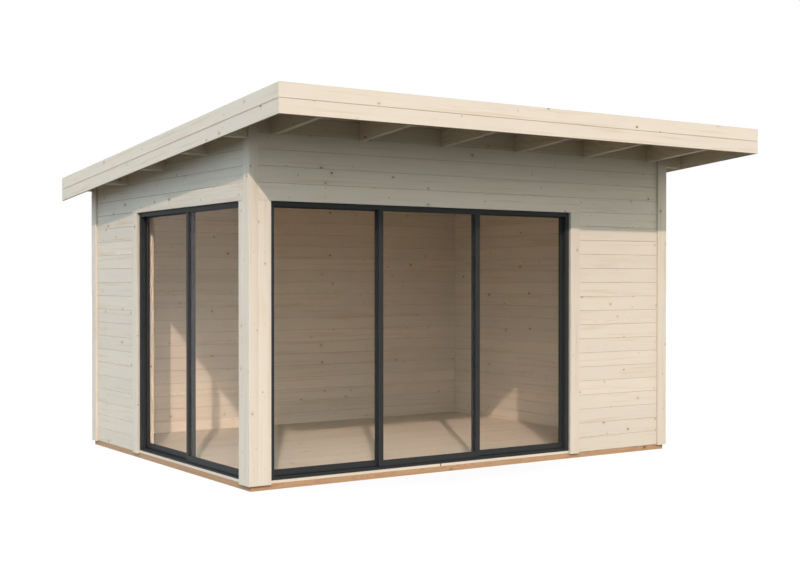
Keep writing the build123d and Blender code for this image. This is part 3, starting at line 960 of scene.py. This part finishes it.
class CABIN_OT_trims(bpy.types.Operator):
    """Fix the upright trim boards, with eased edges"""

    bl_idname = "cabin.trims"
    bl_label = "Trim Boards"

    def execute(self, context):
        spans = trim_spans()
        x, y = rounded_rectangle(*spans[:, :4].T, sizes().arris)
        foot = np.broadcast_to(spans[:, 4:5], x.shape)
        top = np.minimum(spans[:, 5:6], roof_level(y, deck_drop()))
        points, faces = prisms(np.stack([x, y, foot], -1), np.stack([x, y, top], -1))
        around = x.shape[1]
        side = spans[:, 6]
        shares = [np.repeat(side, around), np.tile(side, 2)]
        board = np.repeat(np.arange(len(spans)), 2 * around)
        centre = (0.0, 0.0, 0.0)
        woods = [
            timber("front trim boards", Z_AXIS, X_AXIS, Y_AXIS, centre, seed=401.0, knots=0.4),
            timber("side trim boards", Z_AXIS, Y_AXIS, X_AXIS, centre, seed=449.0, knots=0.4),
        ]
        corners = [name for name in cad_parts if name.endswith("_corner_trim")]
        add_piece(
            "trim_boards", points, faces, woods, replaced=[*corners, "door_trims"], slot="spruce",
            shares=shares, board=board, smooth=EASED,
        )
        return {"FINISHED"}


class CABIN_OT_screws(bpy.types.Operator):
    """Drive screws into the trim boards"""

    bl_idname = "cabin.screws"
    bl_label = "Trim Screws"

    def execute(self, context):
        # A head's height over the board against its radius, turned about the board's normal, with a recess
        # in its middle and a rim that goes into the board
        size = sizes()
        spans = trim_spans()
        side = spans[:, 6]
        foot_margin, top_margin = 0.12, 0.2
        recess, sunk = 0.0012, 0.002
        middle = np.stack([(spans[:, 0] + spans[:, 1]) / 2, (spans[:, 2] + spans[:, 3]) / 2], -1)
        tops = np.minimum(spans[:, 5], roof_level(middle[:, 1], deck_drop()))
        outward = np.where(side[:, None] == 0, [0.0, 1.0], [1.0, 0.0]) * np.sign(middle)
        levels = [
            np.arange(low_end + foot_margin, top_end - top_margin, size.screw_spacing)
            for low_end, top_end in zip(spans[:, 4], tops)
        ]
        owner = np.repeat(np.arange(len(spans)), [len(each) for each in levels])
        normal = np.column_stack([outward[owner], np.zeros(len(owner))])
        spot = np.column_stack([middle[owner], np.concatenate(levels)]) + normal * size.trim_thickness / 2
        shape = np.array([(0.34, 0.00012), (0.42, 0.00035), (0.80, 0.0004), (1.0, -0.0002)])
        angle = np.linspace(0, 2 * np.pi, SCREW_SIDES, endpoint=False)
        sideways = np.cross(Z_AXIS, normal)
        wheel = np.cos(angle)[:, None] * Z_AXIS + np.sin(angle)[:, None] * sideways[:, None, :]
        radii = shape[:, 0] * size.screw_radius
        out = normal[:, None, None]
        rings = spot[:, None, None] + radii[:, None, None] * wheel[:, None] + shape[:, 1, None, None] * out
        rings = np.concatenate([rings[:, :1] - recess * out, rings, rings[:, -1:] - sunk * out], 1)
        per_head = rings.shape[1] * SCREW_SIDES
        first = np.arange(len(rings))[:, None, None] * per_head
        sides = (grid_faces(rings.shape[1], SCREW_SIDES, close_columns=True) + first).reshape(-1, 4)
        ring = np.arange(SCREW_SIDES)
        caps = np.concatenate([ring[::-1] + first[:, 0], ring + per_head - SCREW_SIDES + first[:, 0]])
        tones = colours()
        steel = grainy(
            "zinc steel", faded(tones.steel, 0.8), tones.steel, 90.0, 1600.0, (0.32, 0.5), 0.0001, metal=1.0
        )
        add_piece("trim_screws", rings.reshape(-1, 3), [sides, caps], [steel], smooth=EASED)
        return {"FINISHED"}


class CABIN_OT_headers(bpy.types.Operator):
    """Fix a board with eased edges over each glazed unit"""

    bl_idname = "cabin.headers"
    bl_label = "Header Boards"

    def execute(self, context):
        size = sizes()
        front, left = low("front_lintel_wall")[1], low("left_lintel_wall")[0]
        corner, trims = high("front_left_corner_trim"), high("door_trims")
        face = np.array([front, left])
        foot = np.full(2, trims[2])
        top = foot + size.header_height
        out, up = rounded_rectangle(face - size.header_depth, face, foot, top, size.arris)

        def ring(x, y):
            """The section at one end of the front board, and of the left board."""
            flat = np.ones(up.shape[1])
            front_ring = np.stack([flat * x, out[0], up[0]], -1)
            return np.stack([front_ring, np.stack([out[1], flat * y, up[1]], -1)])

        points, faces = prisms(ring(corner[0], trims[1]), ring(trims[0], corner[1]))
        around = up.shape[1]
        middle = trims[2] + size.header_height / 2
        origins = (corner[0], front, middle), (left, corner[1], middle)
        woods = [
            timber("front header board", X_AXIS, Z_AXIS, Y_AXIS, origins[0], seed=463.0),
            timber("left header board", Y_AXIS, Z_AXIS, X_AXIS, origins[1], seed=479.0),
        ]
        number = np.arange(2)
        shares = [np.repeat(number, around), np.tile(number, 2)]
        board = np.repeat(number, 2 * around)
        add_piece(
            "header_boards", points, faces, woods, slot="spruce", shares=shares, board=board, smooth=EASED
        )
        return {"FINISHED"}


class CABIN_OT_seals(bpy.types.Operator):
    """Press a rubber seal round both faces of every pane"""

    bl_idname = "cabin.seals"
    bl_label = "Glazing Seals"

    def execute(self, context):
        size = sizes()
        width, height = size.seal_width, size.seal_height
        lip = np.array([(0.0, 0.0), (1.0, 0.0), (0.93, 0.3), (0.6, 0.72), (0.3, 0.95), (0.0, 1.0)])
        profile = lip * [width, height]
        dark = colours().rubber
        rubber = grainy("seal rubber", dark, faded(dark, 2.2), 25.0, 900.0, (0.5, 0.75), 0.0002)
        inset = size.pane_inset
        for pane, body in PANES.items():
            start, end = low(pane + "_glass"), high(pane + "_glass")
            normal = 1 if pane.startswith("front") else 0
            run = 1 - normal
            edge = np.array([start[run] + inset, end[run] - inset])
            level = np.array([start[2] + inset, end[2] - inset])
            # Each profile point goes once round the opening, as far inside its edges as the point's width
            inward = profile[:, 0]
            corners = [(0, 0), (1, 0), (1, 1), (0, 1)]
            along = np.stack([edge[i] + (1 - 2 * i) * inward for i, _ in corners])
            upward = np.stack([level[j] + (1 - 2 * j) * inward for _, j in corners])
            parts = []
            for face, way in ((start[normal], -1.0), (end[normal], 1.0)):
                out = np.broadcast_to(face + way * profile[:, 1], along.shape)
                axes = (along, out, upward) if normal else (out, along, upward)
                parts.append(np.stack(axes, -1).reshape(-1, 3))
            faces = grid_faces(4, len(profile), True, True)
            if signed_volume(parts[0], faces) < 0:
                faces = faces[:, ::-1]
            points = np.concatenate(parts)
            both = np.concatenate([faces, faces[:, ::-1] + len(parts[0])])
            add_piece(pane + "_seals", points, [both], [rubber], body, slot="anthracite_aluminium")
        return {"FINISHED"}


class CABIN_OT_finishes(bpy.types.Operator):
    """Give the timbers, aluminium sections and panes their finishes"""

    bl_idname = "cabin.finishes"
    bl_label = "Finishes"

    def execute(self, context):
        size = sizes()
        give(fascia_timber("front fascia", X_AXIS, Y_AXIS, 0.0, 503.0), "front_fascia")
        first = low("rafters")[0]
        spacing = (high("rafters")[0] - size.rafter_width - first) / (RAFTERS - 1)
        rafters = timber(
            "rafters", down_slope(), Z_AXIS, X_AXIS, (first, cad_box[0].y, cad_box[1].z), stack=X_AXIS,
            pitch=spacing, first=-spacing / 2, seed=701.0, knots=0.45,
        )
        give(rafters, "rafters")
        corner = tuple(low("corner_post"))
        # Timbers that stand apart: name, axes along, across and into them, the axis and distance by which
        # they are told apart, where that count starts from the corner post, seed, kind of wood and nodes
        base = {"kind": "impregnated", "knots": 0.3, "ring": 0.004}
        rows = (
            ("door linings", Z_AXIS, X_AXIS + Y_AXIS, X_AXIS - Y_AXIS, X_AXIS, 1.1, -0.5, 809.0,
             {"knots": 0.3}, ["corner_post", "door_linings"]),
            ("front threshold", X_AXIS, Y_AXIS, Z_AXIS, Y_AXIS, 9.0, -4.0, 853.0,
             {"knots": 0.2}, ["front_threshold"]),
            ("left threshold", Y_AXIS, X_AXIS, Z_AXIS, X_AXIS, 9.0, -4.0, 857.0,
             {"knots": 0.2}, ["left_threshold"]),
            ("cross beams", X_AXIS, Z_AXIS, Y_AXIS, Y_AXIS, 1.0, -0.5, 907.0,
             base, ["base_front_beam", "base_back_beam"]),
            ("long beams", Y_AXIS, Z_AXIS, X_AXIS, X_AXIS, 0.5, -0.25, 953.0,
             base, ["base_side_beams", "floor_joists"]),
        )
        for name, along, across, depth, stack, pitch, first, seed, kind, nodes in rows:
            wood = timber(
                name, along, across, depth, corner, stack=stack, pitch=pitch, first=first, seed=seed, **kind
            )
            give(wood, *nodes)

        tones = colours()
        coat = grainy(
            "anthracite coat", faded(tones.coat, 0.9), faded(tones.coat, 1.12), 4.0, 1400.0, (0.42, 0.55),
            0.00012, specular=0.1,
        )
        metal = [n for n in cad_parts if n.startswith(("front_unit", "left_unit"))]
        give(coat, *metal, *[pane + "_panel" for pane in PANES])
        give(toned_glass(), *[pane + "_glass" for pane in PANES])
        return {"FINISHED"}


class CABIN_OT_stage(bpy.types.Operator):
    """Set the ground, the sun, the soft light and the camera"""

    bl_idname = "cabin.stage"
    bl_label = "Stage"

    def execute(self, context):
        scene = context.scene
        stage = scene.cabin_stage
        scene.view_settings.view_transform = "Standard"

        # Ground: rings of growing radius about the cabin
        rings, spokes = 10, 48
        radius = np.geomspace(0.5, 120.0, rings)[:, None]
        angle = np.linspace(0, 2 * np.pi, spokes, endpoint=False)
        flat = np.zeros((rings, spokes))
        disc = np.stack([radius * np.cos(angle), radius * np.sin(angle), flat], -1).reshape(-1, 3)
        mesh = bpy.data.meshes.new("ground")
        faces = grid_faces(rings, spokes, close_columns=True)[:, ::-1].tolist() + [list(range(spokes))]
        mesh.from_pydata(disc.tolist(), [], faces)
        ground = bpy.data.objects.new("ground", mesh)
        scene.collection.objects.link(ground)
        material = bpy.data.materials.new("pale ground")
        material.use_nodes = True
        material.node_tree.nodes.clear()
        n = Nodes(material.node_tree)
        seen = self.seen(n)
        spot = n.add("TexCoord").outputs["Object"]
        cast = n.mix(n.noise(spot, 3.0), (0.066, 0.064, 0.058, 1.0), (0.072, 0.07, 0.064, 1.0))
        dull = n.add("BsdfDiffuse", {"Color": cast})
        pale = n.add("BsdfDiffuse", {"Color": (0.40, 0.40, 0.41, 1.0)})
        glow = n.add("Emission", {"Strength": 0.64})
        lit = n.add("AddShader", {0: pale.outputs[0], 1: glow.outputs[0]})
        both = n.add("MixShader", {0: seen, 1: dull.outputs[0], 2: lit.outputs[0]})
        n.add("OutputMaterial", {"Surface": both.outputs[0]})
        mesh.materials.append(material)

        world = bpy.data.worlds.new("studio")
        scene.world = world
        world.use_nodes = True
        world.node_tree.nodes.clear()
        n = Nodes(world.node_tree)
        way_out = n.add("TexCoord").outputs["Generated"]
        leftness = n.sum("ADD", n.dot(way_out, X_AXIS * -0.5), 0.5)
        sky = n.mix(leftness, opaque(stage.right_tone), opaque(stage.left_tone))
        level = n.times_plus(n.dot(way_out, Z_AXIS), -0.3, 1.1)
        fill = n.add("Background", {"Color": sky, "Strength": n.times(level, stage.sky_power)})
        white = n.add("Background", {"Color": (1.0, 1.0, 1.0, 1.0), "Strength": 1.0})
        both = n.add("MixShader", {0: self.seen(n), 1: fill.outputs[0], 2: white.outputs[0]})
        n.add("OutputWorld", {"Surface": both.outputs[0]})

        lamp = bpy.data.lights.new("sun", "SUN")
        lamp.energy = stage.sun_power
        lamp.angle = stage.sun_spread
        lamp.color = stage.sun_tone
        sun = bpy.data.objects.new("sun", lamp)
        scene.collection.objects.link(sun)
        sun.rotation_euler = stage.to_sun.to_track_quat("Z", "Y").to_euler()

        data = bpy.data.cameras.new("camera")
        data.lens = stage.lens
        data.sensor_width = 36.0
        data.clip_end = 500.0
        camera = bpy.data.objects.new("camera", data)
        camera.location = stage.camera_place
        camera.rotation_euler = stage.camera_turn
        scene.collection.objects.link(camera)
        scene.camera = camera
        return {"FINISHED"}

    @staticmethod
    def seen(n):
        """One for rays that show the background to the camera, directly, in a mirror or through glass, and
        nil for light that has left a dull surface, so that the background doesn't light the room."""
        path = n.add("LightPath").outputs
        mirrored = n.sum("MAXIMUM", path["Is Glossy Ray"], path["Is Transmission Ray"])
        shown = n.sum("MAXIMUM", path["Is Camera Ray"], mirrored)
        return n.times(shown, n.sum("LESS_THAN", path["Diffuse Depth"], 0.5))


OPERATORS = (
    CABIN_OT_wall_boards,
    CABIN_OT_floor_boards,
    CABIN_OT_roof,
    CABIN_OT_felt,
    CABIN_OT_lookouts,
    CABIN_OT_fascias,
    CABIN_OT_trims,
    CABIN_OT_screws,
    CABIN_OT_headers,
    CABIN_OT_seals,
    CABIN_OT_finishes,
    CABIN_OT_stage,
)


class CABIN_PT_panel(bpy.types.Panel):
    """Lists the steps that finish the cabin"""

    bl_label = "Garden Cabin"
    bl_idname = "CABIN_PT_panel"
    bl_space_type = "VIEW_3D"
    bl_region_type = "UI"
    bl_category = "Cabin"

    def draw(self, context):
        for step in OPERATORS:
            self.layout.operator(step.bl_idname)
        for group in (context.scene.cabin_sizes, context.scene.cabin_colours, context.scene.cabin_stage):
            box = self.layout.box()
            for name in group.bl_rna.properties.keys():
                if name not in ("rna_type", "name"):
                    box.prop(group, name)


CLASSES = (CabinSizes, CabinColours, CabinStage, *OPERATORS, CABIN_PT_panel)


def register():
    for each in CLASSES:
        bpy.utils.register_class(each)
    bpy.types.Scene.cabin_sizes = bpy.props.PointerProperty(type=CabinSizes)
    bpy.types.Scene.cabin_colours = bpy.props.PointerProperty(type=CabinColours)
    bpy.types.Scene.cabin_stage = bpy.props.PointerProperty(type=CabinStage)


def unregister():
    del bpy.types.Scene.cabin_stage
    del bpy.types.Scene.cabin_colours
    del bpy.types.Scene.cabin_sizes
    for each in reversed(CLASSES):
        bpy.utils.unregister_class(each)


def main():
    register()
    bpy.ops.cabin.wall_boards()
    bpy.ops.cabin.floor_boards()
    bpy.ops.cabin.roof()
    bpy.ops.cabin.felt()
    bpy.ops.cabin.lookouts()
    bpy.ops.cabin.fascias()
    bpy.ops.cabin.trims()
    bpy.ops.cabin.screws()
    bpy.ops.cabin.headers()
    bpy.ops.cabin.seals()
    bpy.ops.cabin.finishes()
    bpy.ops.cabin.stage()


if __name__ == "__main__":
    main()
